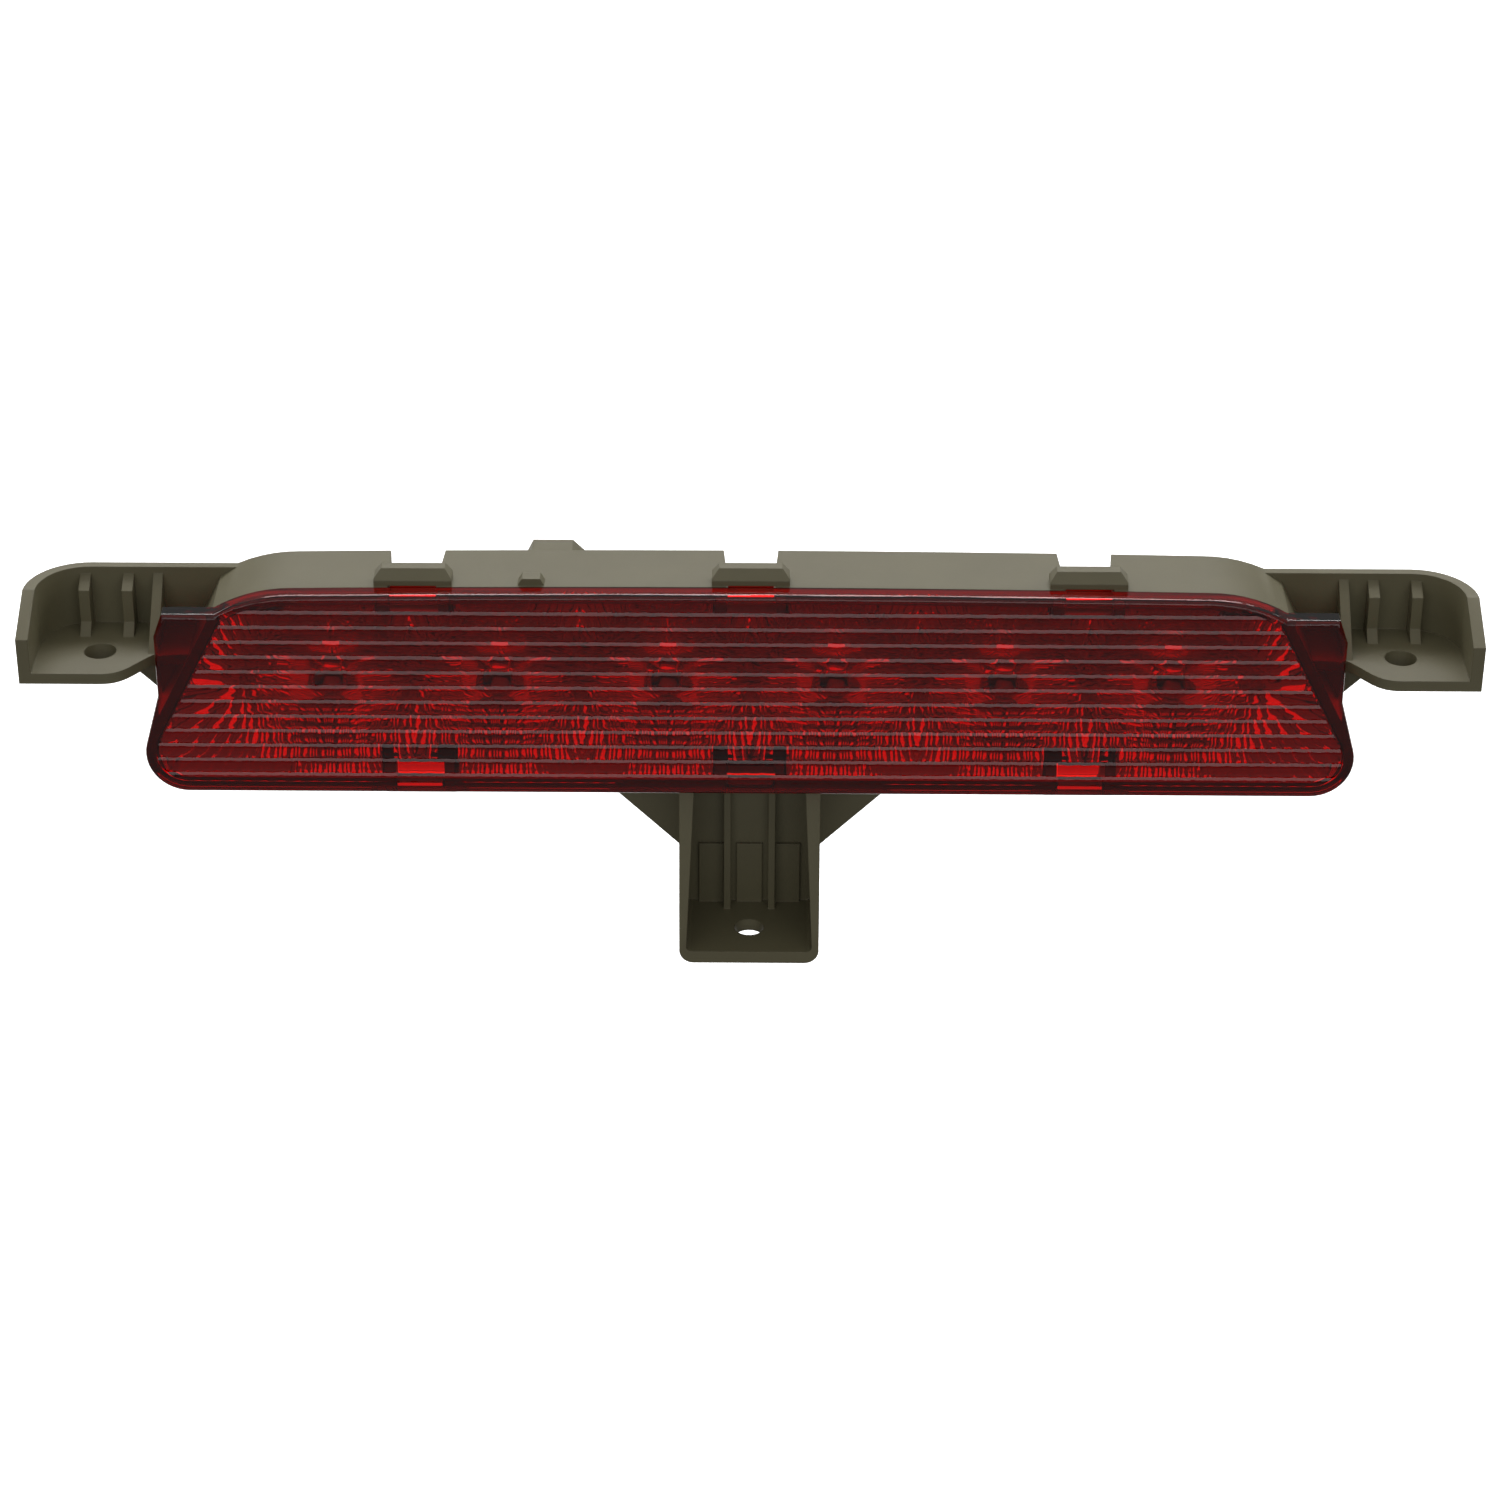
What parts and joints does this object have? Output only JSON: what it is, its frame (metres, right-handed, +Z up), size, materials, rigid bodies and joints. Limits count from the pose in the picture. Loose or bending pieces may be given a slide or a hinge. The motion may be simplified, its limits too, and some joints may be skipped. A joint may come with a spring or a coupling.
{
  "type": "third brake light",
  "caption": "High-mounted brake lamp: wide red ribbed lens snapped on a moulded housing with two screw ears, a lower screw bracket and a rear plug socket.",
  "frame": {"origin": "axis of the lower bracket's screw hole at the seat face under its floor", "axes": "+X to the right seen from in front of the lens, +Y rearwards away from the lens, +Z up along the mounting screws"},
  "size_m": [0.2942, 0.0347, 0.0889],
  "materials": {
    "housing_abs": "moulded, fine texture, olive grey",
    "red_lens": "clear red acrylic, polished",
    "reflector_metallised": "vacuum metallised",
    "board": "green solder mask",
    "lamp_package": "white moulded package",
    "lamp_dome": "clear epoxy",
    "component": "black moulded",
    "capacitor": "tan ceramic",
    "header_pbt": "black moulded",
    "pin_metal": "tin plated",
    "screw_steel": "zinc plated"
  },
  "bodies": {
    "root": {"housing": "housing_abs", "lens": "red_lens", "reflector": "reflector_metallised", "circuit_board": "board", "led_body_1": "lamp_package", "led_body_2": "lamp_package", "led_body_3": "lamp_package", "led_body_4": "lamp_package", "led_body_5": "lamp_package", "led_body_6": "lamp_package", "led_dome_1": "lamp_dome", "led_dome_2": "lamp_dome", "led_dome_3": "lamp_dome", "led_dome_4": "lamp_dome", "led_dome_5": "lamp_dome", "led_dome_6": "lamp_dome", "resistor_1": "component", "resistor_2": "component", "resistor_3": "component", "resistor_4": "component", "resistor_5": "component", "resistor_6": "component", "reverse_diode": "component", "surge_capacitor": "capacitor", "connector_header": "header_pbt", "connector_pin_supply": "pin_metal", "connector_pin_ground": "pin_metal", "board_screws": "screw_steel"}
  },
  "joints": []
}
